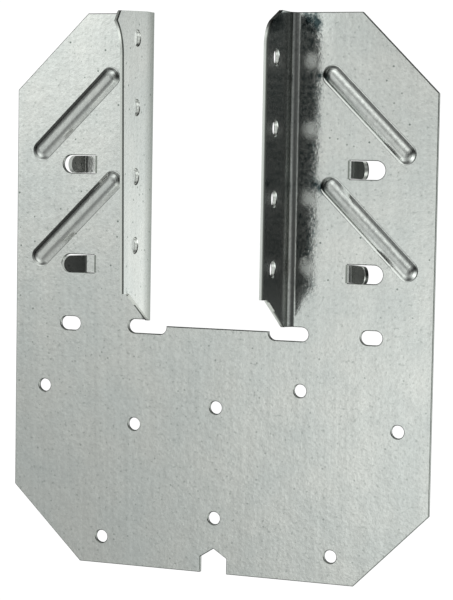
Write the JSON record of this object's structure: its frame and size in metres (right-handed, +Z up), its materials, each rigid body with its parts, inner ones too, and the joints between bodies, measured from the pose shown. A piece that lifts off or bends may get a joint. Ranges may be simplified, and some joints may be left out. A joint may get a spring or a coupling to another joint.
{
  "type": "hurricane tie",
  "caption": "Galvanised steel tie: an eight-sided plate with a slot for a rafter, two nailing flanges, nail holes, diagonal beads and angle tabs.",
  "frame": {"origin": "middle of the rafter seat, the bottom edge of the slot, at the plate's back face", "axes": "+Z up along the slot and the flanges, +Y towards the wall behind the plate, +X to the right seen from the front"},
  "size_m": [0.126, 0.0286, 0.1592],
  "materials": {
    "galvanised_steel": "galvanised"
  },
  "bodies": {
    "root": {"tie_plate": "galvanised_steel"}
  },
  "joints": []
}
